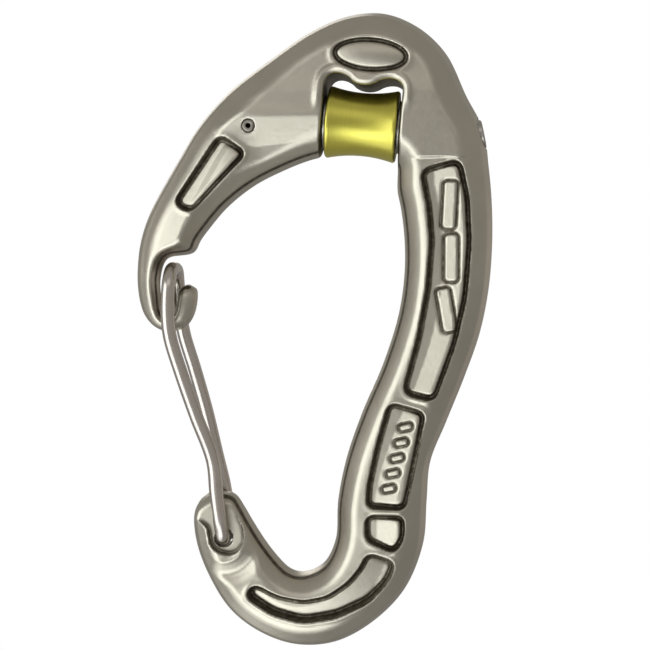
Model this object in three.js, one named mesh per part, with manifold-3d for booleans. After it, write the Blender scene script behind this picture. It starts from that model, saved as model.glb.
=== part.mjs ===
// Wire-gate carabiner with a built-in rope roller, in millimetres, +Z up.
// It stands upright with the roller end on top, its gate on the left (-X) and its face towards -Y.
// The parting plane of the forging is Y = 0. The origin is the lowest point of the roller's groove,
// where the rope that carries the carabiner runs.
import * as THREE from 'three';
import { mergeVertices } from 'three/addons/utils/BufferGeometryUtils.js';
import Module from 'manifold-3d';

const wasm = await Module();
wasm.setup();

// Driving dimensions
const ROLLER_GROOVE_R = 5.5;
const ROLLER_RIM_R = 6.25;
const ROLLER_WIDTH = 12.4;
const ROLLER_EDGE = 0.5;
const AXLE_TILT = THREE.MathUtils.degToRad(5); // the axle falls towards the spine
const AXLE_R = 2.4;
const AXLE_LEFT = -21.6; // axle ends, along its axis from the roller's middle
const AXLE_RIGHT = 20.8;
const FIT_GAP = 0.2; // between a fixed pin and its hole
const RUNNING_GAP = 0.08;
const BUSH_WALL = 0.6;
const WASHER_THICKNESS = 0.4;
const WASHER_R = 4.6;
const END_PLAY = 0.1;
const ROLL_PIN_R = 1.05;
const ROLL_PIN_HOLE_R = 0.4;
const ROLL_PIN_AT = [-19.0, 5.0]; // x, z
const HOUSING_HALF = 6.4; // half thickness beside the roller
const WIRE_R = 1.22;
const WIRE_LEG_Y = 4.5; // the legs' distance from the parting plane
const PIVOT = [-24.0, -67.6];
const PIVOT_HOLE_R = 1.6;
const PIVOT_RING_R = 3.2;
const EYE_HALF = 3.0; // half thickness of the recessed eye and of the nose hook
const POCKET_DEPTH = 1.3;
const SIDES = 32; // of a round piece
const STEPS_PER_STATION = 2;

const rollerMiddle = [
  ROLLER_GROOVE_R * Math.sin(AXLE_TILT),
  ROLLER_GROOVE_R * Math.cos(AXLE_TILT),
];
const bushR = AXLE_R + RUNNING_GAP + BUSH_WALL;
const windowHalf = ROLLER_WIDTH / 2 + END_PLAY + WASHER_THICKNESS + END_PLAY;

// The frame's bar, from the tip of the nose hook, round the nose, over the roller, down the spine and
// round the basket to the gate's eye: outer edge (x, z), inner edge (x, z), half thickness.
const STATIONS = [
  [-29.5, -22.5, -31.7, -22.4, 2.4],
  [-29.0, -23.4, -32.5, -23.5, EYE_HALF],
  [-28.9, -25.2, -32.8, -25.4, EYE_HALF],
  [-29.5, -28.0, -33.2, -27.3, EYE_HALF],
  [-30.6, -29.8, -33.6, -28.1, EYE_HALF],
  [-32.4, -30.9, -34.0, -28.5, EYE_HALF],
  [-34.6, -31.2, -34.5, -28.6, 3.1],
  [-37.0, -30.2, -35.0, -28.2, 3.3],
  [-38.7, -28.2, -35.4, -27.0, 3.7],
  [-39.6, -25.5, -35.5, -25.2, 4.1],
  [-40.0, -21.9, -35.5, -21.2, 4.5],
  [-39.9, -19.0, -34.3, -18.2, 4.7],
  [-39.6, -16.3, -29.6, -17.0, 4.9],
  [-38.9, -13.3, -28.3, -14.8, 5.0],
  [-37.8, -10.3, -26.8, -12.8, 5.1],
  [-36.1, -6.9, -23.5, -9.0, 5.2],
  [-32.5, -0.7, -18.8, -5.3, 5.4],
  [-28.5, 5.7, -13.5, -2.6, 5.9],
  [-23.1, 11.6, -8.1, -0.6, HOUSING_HALF],
  [-15.9, 17.1, -3.9, 0.0, HOUSING_HALF],
  [-8.5, 22.0, -0.5, -0.2, HOUSING_HALF],
  [-1.8, 24.6, 1.4, -0.4, HOUSING_HALF],
  [4.5, 24.8, 2.8, -0.5, HOUSING_HALF],
  [10.5, 22.2, 4.2, -0.7, HOUSING_HALF],
  [15.2, 17.6, 5.5, -1.3, HOUSING_HALF],
  [18.7, 10.3, 6.3, -2.3, HOUSING_HALF],
  [21.7, 4.4, 6.4, -3.9, HOUSING_HALF],
  [22.6, -1.7, 6.5, -6.0, 6.0],
  [23.2, -8.3, 7.2, -9.5, 5.6],
  [23.3, -15.7, 7.8, -14.8, 5.4],
  [22.7, -23.5, 7.8, -20.7, 5.3],
  [21.2, -31.1, 6.8, -27.8, 5.3],
  [18.6, -38.7, 4.1, -36.5, 5.3],
  [15.3, -47.0, 0.4, -45.2, 5.3],
  [12.6, -53.9, -2.4, -53.4, 5.3],
  [12.0, -60.7, -3.9, -61.0, 5.3],
  [11.4, -68.4, -4.3, -67.8, 5.2],
  [8.1, -76.7, -6.2, -71.9, 5.2],
  [2.2, -82.9, -8.7, -73.5, 5.2],
  [-4.4, -86.5, -10.7, -73.8, 5.2],
  [-11.4, -87.1, -12.5, -73.2, 5.2],
  [-17.9, -85.0, -14.6, -71.2, 5.1],
  [-23.3, -81.0, -16.8, -68.4, 5.0],
  [-27.3, -74.7, -19.0, -65.0, 4.9],
  [-29.5, -68.6, -20.6, -62.3, 4.7],
  [-29.8, -63.5, -22.0, -60.3, 4.2],
  [-28.0, -60.0, -24.2, -59.1, 3.2],
];

// A quarter of the bar's section, from the parting line to the face: how far in from the edge, as a
// share of the flange's rounding, and how far out from the parting plane, as a share of the thickness.
const SECTION_QUARTER = [[0, 0], [0.12, 0.45], [0.3, 0.75], [0.6, 0.94], [1, 1]];

// Forged pockets, in x and z, each with the half thickness of the bar where it lies.
const POCKETS = [
  { half: 5.3, corner: 1.2, points: [[-24.1, 3.1], [-19.9, 0.3], [-29.4, -9.6], [-31.9, -8.2]] },
  {
    half: 5.4,
    corner: 1.6,
    points: [
      [11.2, -3.0], [12.8, -15.0], [12.3, -23.0], [10.6, -32.6], [8.2, -41.2],
      [13.2, -42.4], [16.7, -32.6], [18.5, -24.5], [19.2, -15.0], [18.6, -7.5], [17.4, -1.4],
    ],
    pads: [[15.8, -8.8], [16.1, -17.9], [15.3, -26.9]],
  },
  {
    half: 5.3,
    corner: 1.2,
    points: [[5.7, -43.4], [11.4, -45.0], [8.1, -61.3], [1.9, -61.1], [2.9, -54.0]],
  },
  { half: 5.2, corner: 1.0, points: [[1.8, -63.2], [7.8, -63.2], [7.6, -67.0], [6.0, -69.0], [1.8, -67.0]] },
  {
    half: 5.2,
    corner: 1.0,
    points: [
      [1.9, -69.8], [6.3, -71.2], [4.6, -75.0], [1.2, -78.3], [-4.0, -80.4], [-9.6, -81.4],
      [-15.0, -80.2], [-19.4, -77.4], [-18.0, -75.8], [-14.0, -77.8], [-9.6, -78.5], [-5.2, -77.6],
      [-1.5, -75.0],
    ],
  },
];
const PAD_HALF = [1.2, 3.6]; // half width and half length of a raised pad
const OVAL = { x: 2.2, z: 16.9, half: [6.1, 2.5], island: [5.5, 2.0], depth: 0.6 };

const aluminium = { color: 0x9c978a, roughness: 0.42, metalness: 1.0 };
const steel = { color: 0xb9b2a8, roughness: 0.3, metalness: 1.0 };

// Solids for the cuts

function toSolid(geometry) {
  const plain = geometry.clone();
  plain.deleteAttribute('normal');
  plain.deleteAttribute('uv');
  const merged = mergeVertices(plain, 1e-4);
  return new wasm.Manifold(new wasm.Mesh({
    numProp: 3,
    vertProperties: new Float32Array(merged.attributes.position.array),
    triVerts: new Uint32Array(merged.index.array),
  }));
}

function toGeometry(solid) {
  const { vertProperties, triVerts } = solid.getMesh();
  const geometry = new THREE.BufferGeometry();
  geometry.setAttribute('position', new THREE.BufferAttribute(vertProperties, 3));
  geometry.setIndex(new THREE.BufferAttribute(triVerts, 1));
  geometry.computeVertexNormals();
  return geometry;
}

// An x-z outline made into a prism from y = from to y = to.
function prism(shape, from, to) {
  const geometry = new THREE.ExtrudeGeometry(shape, {
    depth: to - from,
    bevelEnabled: false,
    curveSegments: 6,
  });
  geometry.rotateX(Math.PI / 2); // the outline's y becomes z, and the depth runs towards -Y
  geometry.translate(0, to, 0);
  return geometry;
}

// A closed outline through the points with each corner rounded.
function roundedShape(points, corner) {
  const corners = points.map(([x, z]) => new THREE.Vector2(x, z));
  const shape = new THREE.Shape();
  corners.forEach((point, i) => {
    const before = corners[(i + corners.length - 1) % corners.length];
    const after = corners[(i + 1) % corners.length];
    const reachIn = Math.min(corner, before.distanceTo(point) / 2.1);
    const reachOut = Math.min(corner, after.distanceTo(point) / 2.1);
    const start = point.clone().add(before.clone().sub(point).setLength(reachIn));
    const end = point.clone().add(after.clone().sub(point).setLength(reachOut));
    if (i === 0) shape.moveTo(start.x, start.y);
    else shape.lineTo(start.x, start.y);
    shape.quadraticCurveTo(point.x, point.y, end.x, end.y);
  });
  shape.closePath();
  return shape;
}

function ellipsePath(x, z, [halfX, halfZ], tilt = 0) {
  return new THREE.Shape().absellipse(x, z, halfX, halfZ, 0, 2 * Math.PI, false, tilt);
}

// Lays a geometry that stands on its own axis along the axle's line, at the roller's middle.
function alongAxle(geometry) {
  geometry.rotateZ(-Math.PI / 2);
  geometry.rotateY(AXLE_TILT);
  geometry.translate(rollerMiddle[0], 0, rollerMiddle[1]);
  return geometry;
}

// A cylinder along the axle's line, between two places measured from the roller's middle.
function axleCylinder(radius, from, to) {
  const geometry = new THREE.CylinderGeometry(radius, radius, to - from, SIDES);
  geometry.translate(0, (from + to) / 2, 0);
  return alongAxle(geometry);
}

function crossCylinder([x, z], radius, halfLength) {
  return new THREE.CylinderGeometry(radius, radius, 2 * halfLength, SIDES).translate(x, 0, z);
}

// The frame

function sectionRing(outer, inner, half) {
  const middle = outer.clone().add(inner).multiplyScalar(0.5);
  const outward = outer.clone().sub(middle);
  const halfWidth = outward.length();
  outward.normalize();
  const rounding = Math.min(0.6 * half, 0.75 * halfWidth);
  const quarter = SECTION_QUARTER.map(([inset, rise]) => [halfWidth - inset * rounding, rise * half]);
  const flipped = quarter.slice().reverse();
  const ring = [
    ...quarter,
    ...flipped.map(([u, y]) => [-u, y]),
    ...quarter.slice(1).map(([u, y]) => [-u, -y]),
    ...flipped.slice(0, -1).map(([u, y]) => [u, -y]),
  ];
  return ring.map(([u, y]) => [middle.x + outward.x * u, y, middle.z + outward.z * u]);
}

// The bar as rings of its section, closed at both tips.
function barGeometry() {
  const spline = (pick) => new THREE.CatmullRomCurve3(STATIONS.map(pick), false, 'centripetal');
  const outerEdge = spline(([x, z]) => new THREE.Vector3(x, 0, z));
  const innerEdge = spline(([, , x, z]) => new THREE.Vector3(x, 0, z));
  const count = (STATIONS.length - 1) * STEPS_PER_STATION;
  const positions = [];
  const indices = [];
  let sides = 0;
  for (let i = 0; i <= count; i += 1) {
    const t = i / count;
    const place = t * (STATIONS.length - 1);
    const station = Math.min(Math.floor(place), STATIONS.length - 2);
    const half = THREE.MathUtils.lerp(STATIONS[station][4], STATIONS[station + 1][4], place - station);
    const ring = sectionRing(outerEdge.getPoint(t), innerEdge.getPoint(t), half);
    sides = ring.length;
    positions.push(...ring.flat());
  }
  for (let i = 0; i < count; i += 1) {
    for (let k = 0; k < sides; k += 1) {
      const a = i * sides + k;
      const b = i * sides + ((k + 1) % sides);
      indices.push(a, a + sides, b, b, a + sides, b + sides);
    }
  }
  for (let k = 1; k < sides - 1; k += 1) {
    indices.push(0, k, k + 1);
    const last = count * sides;
    indices.push(last, last + k + 1, last + k);
  }
  const geometry = new THREE.BufferGeometry();
  geometry.setAttribute('position', new THREE.Float32BufferAttribute(positions, 3));
  geometry.setIndex(indices);
  return geometry;
}

// The window that holds the roller: its roof follows the roller's waist with a hump between two arches.
function windowGeometry() {
  const floor = -12;
  const shape = new THREE.Shape();
  shape.moveTo(-windowHalf, floor);
  shape.lineTo(windowHalf, floor);
  shape.lineTo(windowHalf, 5.6);
  shape.bezierCurveTo(windowHalf, 8.3, 3.6, 8.0, 2.2, 6.9);
  shape.bezierCurveTo(0.9, 6.1, -0.9, 6.1, -2.2, 6.9);
  shape.bezierCurveTo(-3.6, 8.4, -windowHalf, 8.7, -windowHalf, 5.6);
  const geometry = prism(shape, -20, 20);
  geometry.rotateY(AXLE_TILT);
  geometry.translate(rollerMiddle[0], 0, rollerMiddle[1]);
  return geometry;
}

// What is cut away above the step in the eye, so that the gate's legs can swing.
function eyeRecessShape() {
  const [x, z] = PIVOT;
  const shape = new THREE.Shape();
  shape.moveTo(-40, -58);
  shape.lineTo(-40, -62.5);
  shape.lineTo(-28.6, -64.8);
  shape.lineTo(x - PIVOT_RING_R, z + 0.6);
  shape.absarc(x, z, PIVOT_RING_R, Math.PI, 2 * Math.PI, false);
  shape.lineTo(-20.4, -65.4);
  shape.lineTo(-12, -58);
  shape.closePath();
  return shape;
}

// The channel beside the nose hook that the gate's legs lie in.
function noseChannelShape() {
  const shape = new THREE.Shape();
  shape.moveTo(-35.5, -19.2);
  shape.quadraticCurveTo(-35.6, -28.0, -34.6, -36);
  shape.lineTo(-26, -36);
  shape.lineTo(-26, -19.2);
  shape.closePath();
  return shape;
}

function bothFaces(shape, innerY, outerY) {
  return [prism(shape, innerY, outerY), prism(shape, -outerY, -innerY)];
}

function pocketGeometries({ half, corner, points, pads = [] }) {
  const shape = roundedShape(points, corner);
  pads.forEach(([x, z]) => shape.holes.push(ellipsePath(x, z, PAD_HALF)));
  return bothFaces(shape, half - POCKET_DEPTH, half + 2);
}

function ovalGeometries() {
  const shape = ellipsePath(OVAL.x, OVAL.z, OVAL.half, -AXLE_TILT);
  shape.holes.push(ellipsePath(OVAL.x, OVAL.z, OVAL.island, -AXLE_TILT));
  return bothFaces(shape, HOUSING_HALF - OVAL.depth, HOUSING_HALF + 1);
}

function frameGeometry() {
  const cuts = [
    windowGeometry(),
    axleCylinder(AXLE_R + FIT_GAP, AXLE_LEFT - FIT_GAP, AXLE_RIGHT + 5),
    crossCylinder(ROLL_PIN_AT, ROLL_PIN_R + FIT_GAP, 10),
    crossCylinder(PIVOT, PIVOT_HOLE_R, 10),
    ...bothFaces(eyeRecessShape(), EYE_HALF, 10),
    ...bothFaces(noseChannelShape(), EYE_HALF, 10),
    ...POCKETS.flatMap(pocketGeometries),
    ...ovalGeometries(),
  ];
  return toGeometry(cuts.reduce((body, cut) => body.subtract(toSolid(cut)), toSolid(barGeometry())));
}

// The gate: one wire, from its end in the eye, up a leg, across the top and down the other leg.
function gateWireGeometry() {
  const [x, z] = PIVOT;
  const foot = [[x, 0.7, z], [x, 2.4, z], [x, 3.9, z + 0.5], [x - 0.2, WIRE_LEG_Y, z + 2.2]];
  const frontLeg = [
    [-25.0, -59.5], [-25.6, -53.6], [-28.6, -45.6], [-31.2, -38.2], [-33.2, -31.6], [-33.6, -27.0],
  ];
  const backLeg = [
    [-25.0, -59.5], [-26.4, -53.6], [-28.3, -45.6], [-30.4, -38.2], [-32.4, -31.6], [-33.1, -27.0],
  ];
  const bend = [[-33.4, 4.2, -22.4], [-33.3, 2.6, -20.3]];
  const side = (leg, sign) => [...foot, ...leg.map(([px, pz]) => [px, WIRE_LEG_Y, pz]), ...bend]
    .map(([px, py, pz]) => new THREE.Vector3(px, sign * py, pz));
  const points = [...side(frontLeg, -1), new THREE.Vector3(-33.3, 0, -19.8), ...side(backLeg, 1).reverse()];
  const route = new THREE.CatmullRomCurve3(points, false, 'centripetal');
  const wire = new THREE.Shape().absarc(0, 0, WIRE_R, 0, 2 * Math.PI, false);
  return new THREE.ExtrudeGeometry(wire, {
    steps: 84,
    curveSegments: 10,
    bevelEnabled: false,
    extrudePath: route,
  });
}

// The roller and what it turns on

function sleeveGeometry(innerR, outerProfile) {
  const first = outerProfile[0][1];
  const last = outerProfile[outerProfile.length - 1][1];
  const profile = [[innerR, first], ...outerProfile, [innerR, last], [innerR, first]];
  const geometry = new THREE.LatheGeometry(profile.map(([r, h]) => new THREE.Vector2(r, h)), SIDES);
  return alongAxle(geometry);
}

function rollerGeometry() {
  const half = ROLLER_WIDTH / 2;
  const profile = [[ROLLER_RIM_R - ROLLER_EDGE, -half]];
  const waistSteps = 10;
  const waistHalf = half - ROLLER_EDGE;
  for (let i = 0; i <= waistSteps; i += 1) {
    const share = (2 * i) / waistSteps - 1;
    const radius = THREE.MathUtils.lerp(ROLLER_GROOVE_R, ROLLER_RIM_R, share * share);
    profile.push([radius, share * waistHalf]);
  }
  profile.push([ROLLER_RIM_R - ROLLER_EDGE, half]);
  return sleeveGeometry(bushR + FIT_GAP, profile);
}

function bushGeometry() {
  const half = ROLLER_WIDTH / 2 - END_PLAY;
  return sleeveGeometry(AXLE_R + RUNNING_GAP, [[bushR, -half], [bushR, half]]);
}

function washerGeometry(side) {
  const near = side * (ROLLER_WIDTH / 2 + END_PLAY);
  const far = near + side * WASHER_THICKNESS;
  const ends = [Math.min(near, far), Math.max(near, far)];
  return sleeveGeometry(AXLE_R + RUNNING_GAP, ends.map((h) => [WASHER_R, h]));
}

function axleGeometry() {
  const blank = toSolid(axleCylinder(AXLE_R, AXLE_LEFT, AXLE_RIGHT));
  return toGeometry(blank.subtract(toSolid(crossCylinder(ROLL_PIN_AT, ROLL_PIN_R + FIT_GAP, 10))));
}

function rollPinGeometry() {
  const outside = crossCylinder(ROLL_PIN_AT, ROLL_PIN_R, HOUSING_HALF - 0.3);
  const inside = crossCylinder(ROLL_PIN_AT, ROLL_PIN_HOLE_R, HOUSING_HALF + 1);
  return toGeometry(toSolid(outside).subtract(toSolid(inside)));
}

const carabiner = new THREE.Group();

function addPiece(name, geometry, look) {
  const mesh = new THREE.Mesh(geometry, new THREE.MeshStandardMaterial(look));
  mesh.name = name;
  carabiner.add(mesh);
}

addPiece('frame', frameGeometry(), aluminium);
addPiece('gate_wire', gateWireGeometry(), steel);
addPiece('roller', rollerGeometry(), { color: 0xb9b04a, roughness: 0.38, metalness: 1.0 });
addPiece('roller_bush', bushGeometry(), { color: 0x9a7b45, roughness: 0.45, metalness: 1.0 });
addPiece('thrust_washer_left', washerGeometry(-1), steel);
addPiece('thrust_washer_right', washerGeometry(1), steel);
addPiece('axle', axleGeometry(), steel);
addPiece('axle_roll_pin', rollPinGeometry(), steel);

export default carabiner;
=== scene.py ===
"""Looks of a wire-gate pulley carabiner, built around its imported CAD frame. Shapes are in millimetres."""

import math

import bpy
import numpy as np
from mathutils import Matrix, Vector


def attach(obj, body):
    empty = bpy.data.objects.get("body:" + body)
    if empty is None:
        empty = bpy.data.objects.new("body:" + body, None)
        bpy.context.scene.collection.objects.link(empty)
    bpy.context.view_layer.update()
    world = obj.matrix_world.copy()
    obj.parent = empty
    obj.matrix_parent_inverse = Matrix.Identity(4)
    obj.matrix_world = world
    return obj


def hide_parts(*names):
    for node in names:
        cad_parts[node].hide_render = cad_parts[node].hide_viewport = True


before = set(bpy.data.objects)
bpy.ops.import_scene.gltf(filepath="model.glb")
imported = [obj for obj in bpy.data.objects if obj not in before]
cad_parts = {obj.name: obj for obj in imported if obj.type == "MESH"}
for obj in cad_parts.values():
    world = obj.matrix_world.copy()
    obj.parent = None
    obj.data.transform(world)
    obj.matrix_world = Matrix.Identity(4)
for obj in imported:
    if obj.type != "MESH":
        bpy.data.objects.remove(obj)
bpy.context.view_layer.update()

MM = 0.001

# ---------------------------------------------------------------- driving dimensions, mm

AXLE_TILT = math.radians(5)
AXLE_ALONG = np.array([math.cos(AXLE_TILT), 0, -math.sin(AXLE_TILT)])
AXLE_UP = np.array([math.sin(AXLE_TILT), 0, math.cos(AXLE_TILT)])
ROLLER_GROOVE_R = 5.5
ROLLER_RIM_R = 6.25
ROLLER_HALF = 6.2
ROLLER_MIDDLE = AXLE_UP * ROLLER_GROOVE_R
AXLE_R = 2.4
AXLE_SPAN = (-21.6, 20.8)
BUSH_R = 3.08
BUSH_HALF = 6.1
WASHER_R = 4.6
WASHER_FACES = (6.3, 6.7)
WINDOW_HALF = 6.8
PIN_AT = (-19.0, 5.0)
PIN_R = 1.05
PIN_BORE_R = 0.42
PIN_HALF = 6.0
PIVOT = (-24.0, -67.6)
PIVOT_HOLE_R = 1.6
PIVOT_RING_R = 3.2
EYE_HALF = 3.0
WIRE_R = 1.22
WIRE_LEG_Y = 4.5
FIT = 0.06  # clearance drawn round the axle and the roll pin
RIDGE_Z = 7.2  # the housing's ridge, left of the roller
RIDGE_HALF = 6.45
PARTING_ROUND = 0.1  # square mm; rounds the edge where the two halves of the forging die meet
POCKET_GROWTH = 0.4  # how far a pocket's wall stands outside the middle of its dark groove
GRID = 0.3  # spacing of the frame's mesh

# The bar from the tip of the nose hook to the gate's eye: outer edge, inner edge and half thickness.
STATIONS = [
    (-29.5, -22.5, -31.7, -22.4, 2.8),
    (-29.0, -23.4, -32.5, -23.5, 3.0),
    (-28.9, -25.2, -32.8, -25.4, 3.0),
    (-29.5, -28.0, -33.2, -27.3, 3.0),
    (-30.6, -29.8, -33.6, -28.1, 3.0),
    (-32.4, -30.9, -34.0, -28.5, 3.0),
    (-34.6, -31.2, -34.5, -28.6, 3.1),
    (-37.0, -30.2, -35.0, -28.2, 3.3),
    (-38.7, -28.2, -35.4, -27.0, 3.7),
    (-39.6, -25.5, -35.5, -25.2, 4.1),
    (-40.0, -21.9, -35.5, -21.2, 4.5),
    (-39.9, -19.0, -34.3, -18.2, 4.7),
    (-39.6, -16.3, -29.6, -17.0, 4.9),
    (-38.9, -13.3, -28.3, -14.8, 5.0),
    (-37.8, -10.3, -26.8, -12.8, 5.1),
    (-36.1, -6.9, -23.5, -9.0, 5.2),
    (-32.5, -0.7, -18.8, -5.3, 5.3),
    (-28.5, 5.7, -13.5, -2.6, 5.4),
    (-23.1, 11.6, -8.1, -0.6, 5.6),
    (-15.9, 17.1, -3.9, 0.0, 5.8),
    (-8.5, 22.0, -0.5, -0.2, 6.0),
    (-1.8, 24.6, 1.4, -0.4, 6.1),
    (4.5, 24.8, 2.8, -0.5, 6.1),
    (10.5, 22.2, 4.2, -0.7, 6.1),
    (15.2, 17.6, 5.5, -1.3, 6.0),
    (18.7, 10.3, 6.3, -2.3, 5.9),
    (21.7, 4.4, 6.4, -3.9, 5.8),
    (22.6, -1.7, 6.5, -6.0, 5.6),
    (23.2, -8.3, 7.2, -9.5, 5.5),
    (23.3, -15.7, 7.8, -14.8, 5.4),
    (22.7, -23.5, 7.8, -20.7, 5.3),
    (21.2, -31.1, 6.8, -27.8, 5.3),
    (18.6, -38.7, 4.1, -36.5, 5.3),
    (15.3, -47.0, 0.4, -45.2, 5.3),
    (12.6, -53.9, -2.4, -53.4, 5.3),
    (12.0, -60.7, -3.9, -61.0, 5.3),
    (11.4, -68.4, -4.3, -67.8, 5.2),
    (8.1, -76.7, -6.2, -71.9, 5.2),
    (2.2, -82.9, -8.7, -73.5, 5.2),
    (-4.4, -86.5, -10.7, -73.8, 5.2),
    (-11.4, -87.1, -12.5, -73.2, 5.2),
    (-17.9, -85.0, -14.6, -71.2, 5.1),
    (-23.3, -81.0, -16.8, -68.4, 5.0),
    (-27.3, -74.7, -19.0, -65.0, 4.9),
    (-29.5, -68.6, -20.6, -62.3, 4.7),
    (-29.8, -63.5, -22.0, -60.3, 4.2),
    (-28.0, -60.0, -24.2, -59.1, 3.6),
]

# Forged pockets, each as the line along the middle of its groove.
ARM_POCKET = [(-24.1, 3.1), (-19.9, 0.3), (-29.4, -9.6), (-31.9, -8.2)]
SPINE_POCKET = [
    (11.2, -3.0), (12.4, -9.0), (12.9, -15.0), (12.3, -23.0), (10.7, -32.0), (8.2, -41.2),
    (13.2, -42.4), (16.7, -32.6), (18.5, -24.5), (19.2, -15.0), (18.8, -7.5), (17.4, -1.4),
]
MARK_POCKET = [
    (5.7, -43.4), (11.4, -45.0), (9.9, -52.6), (8.1, -61.3), (1.9, -61.1), (2.2, -57.5), (3.6, -51.0),
]
SMALL_POCKET = [(1.8, -63.2), (7.8, -63.2), (7.8, -66.6), (6.4, -68.9), (1.8, -67.0)]
BASKET_POCKET = [
    (1.9, -69.8), (6.3, -71.2), (5.2, -74.2), (1.9, -77.8), (-3.8, -80.5), (-9.6, -81.5),
    (-14.9, -80.2), (-19.4, -77.4), (-18.2, -75.8), (-14.3, -77.7), (-9.6, -78.5), (-5.2, -77.6),
    (-1.5, -75.0), (0.8, -72.2),
]
# Outline, roundness of its corners, depth, the edge of the bar that its floor is measured from, the distance
# from that edge at which the floor starts to tilt, and the tilt.
POCKETS = [
    (ARM_POCKET, 1.3, 1.5, "out", 6.3, 0.3),
    (SPINE_POCKET, 1.6, 1.3, "in", 6.7, 0.24),
    (MARK_POCKET, 1.3, 1.3, "in", 6.6, 0.24),
    (SMALL_POCKET, 1.2, 1.3, "in", 7.3, 0.26),
    (BASKET_POCKET, 1.4, 1.0, "in", 5.6, -0.22),
]
# Raised pads and short bars: middle, half width, half length, corner and turn in degrees.
PADS = [
    (15.8, -8.8, 1.1, 4.0, 0.6, 3),
    (16.1, -17.9, 1.1, 4.0, 0.6, 0),
    (15.3, -26.9, 1.1, 3.7, 0.6, -10),
] + [(8.3 - 0.72 * i, -47.3 - 2.7 * i, 1.05, 0.45, 0.35, -14) for i in range(5)]
OVAL = {"at": (2.2, 16.9), "half": (6.1, 2.5)}


# ---------------------------------------------------------------- curves and distances in the x-z plane

def spline(points, per_span, closed=False):
    """Centripetal Catmull-Rom curve through the points, as dense points."""
    pts = np.array(points, float)
    if closed:
        pts = np.vstack([pts[-1], pts, pts[0], pts[1]])
    else:
        pts = np.vstack([2 * pts[0] - pts[1], pts, 2 * pts[-1] - pts[-2]])
    out = []
    for a, b, c, d in zip(pts[:-3], pts[1:-2], pts[2:-1], pts[3:]):
        t0 = 0.0
        t1 = t0 + max(np.linalg.norm(b - a), 1e-6) ** 0.5
        t2 = t1 + max(np.linalg.norm(c - b), 1e-6) ** 0.5
        t3 = t2 + max(np.linalg.norm(d - c), 1e-6) ** 0.5
        t = np.linspace(t1, t2, per_span, endpoint=False)[:, None]
        ab = (t1 - t) / (t1 - t0) * a + (t - t0) / (t1 - t0) * b
        bc = (t2 - t) / (t2 - t1) * b + (t - t1) / (t2 - t1) * c
        cd = (t3 - t) / (t3 - t2) * c + (t - t2) / (t3 - t2) * d
        abc = (t2 - t) / (t2 - t0) * ab + (t - t0) / (t2 - t0) * bc
        bcd = (t3 - t) / (t3 - t1) * bc + (t - t1) / (t3 - t1) * cd
        out.append((t2 - t) / (t2 - t1) * abc + (t - t1) / (t2 - t1) * bcd)
    out = np.vstack(out)
    return out if closed else np.vstack([out, pts[-2]])


def nearest_on_line(x, z, line):
    """Distance to an open polyline, and the place along it as a point number."""
    best = np.full(x.shape, 1e9, np.float32)
    place = np.zeros(x.shape, np.float32)
    for i, (p, q) in enumerate(zip(line[:-1], line[1:])):
        d = q - p
        t = np.clip(((x - p[0]) * d[0] + (z - p[1]) * d[1]) / max(d @ d, 1e-12), 0, 1)
        gap = (x - p[0] - t * d[0]) ** 2 + (z - p[1] - t * d[1]) ** 2
        closer = gap < best
        best = np.where(closer, gap, best)
        place = np.where(closer, i + t, place)
    return np.sqrt(best), place


def inside(x, z, loop):
    """Whether points are inside a closed polyline."""
    odd = np.zeros(x.shape, bool)
    for p, q in zip(loop, np.roll(loop, -1, axis=0)):
        crosses = (p[1] > z) != (q[1] > z)
        with np.errstate(divide="ignore", invalid="ignore"):
            at = p[0] + (z - p[1]) / (q[1] - p[1]) * (q[0] - p[0])
        odd ^= crosses & (x < at)
    return odd


def signed(x, z, loop):
    """Distance to a closed polyline, negative inside."""
    gap, _ = nearest_on_line(x, z, np.vstack([loop, loop[:1]]))
    return np.where(inside(x, z, loop), -gap, gap)


def rounded(points, radius, steps=7):
    """A polygon with each corner replaced by a quadratic curve."""
    pts = [np.array(p, float) for p in points]
    out = []
    for i, p in enumerate(pts):
        before, after = pts[i - 1], pts[(i + 1) % len(pts)]
        reach_in = min(radius, np.linalg.norm(before - p) / 2.1)
        reach_out = min(radius, np.linalg.norm(after - p) / 2.1)
        start = p + (before - p) / np.linalg.norm(before - p) * reach_in
        end = p + (after - p) / np.linalg.norm(after - p) * reach_out
        for t in np.linspace(0, 1, steps):
            out.append((1 - t) ** 2 * start + 2 * t * (1 - t) * p + t * t * end)
    return np.array(out)


def smooth_max(a, b, k):
    """The larger of two values, rounded over where they are within k of each other."""
    h = np.clip(1 - np.abs(a - b) / k, 0, None)
    return np.maximum(a, b) + h * h * k / 4


def smooth_min(a, b, k):
    return -smooth_max(-a, -b, k)


def step(t):
    """A smooth rise from 0 to 1 as t goes from 0 to 1."""
    t = np.clip(t, 0, 1)
    return t * t * (3 - 2 * t)


# ---------------------------------------------------------------- the forged frame as fields on a plan grid

PLAN = 0.2
PLAN_X = np.arange(-44, 28, PLAN)
PLAN_Z = np.arange(-91, 29, PLAN)


def blur(field, radius):
    """Gaussian blur of a plan field, radius in mm."""
    reach = int(3 * radius / PLAN)
    weights = np.exp(-0.5 * (np.arange(-reach, reach + 1) * PLAN / radius) ** 2)
    weights /= weights.sum()
    for axis in (0, 1):
        padded = np.pad(field, [(reach, reach) if a == axis else (0, 0) for a in (0, 1)], mode="edge")
        field = sum(
            w * np.take(padded, range(i, i + field.shape[axis]), axis=axis) for i, w in enumerate(weights)
        )
    return field


def axle_coordinates(x, z):
    """Places along the axle and across it, from the roller's middle."""
    dx, dz = x - ROLLER_MIDDLE[0], z - ROLLER_MIDDLE[2]
    return (
        dx * AXLE_ALONG[0] + dz * AXLE_ALONG[2],
        dx * AXLE_UP[0] + dz * AXLE_UP[2],
    )


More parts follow.
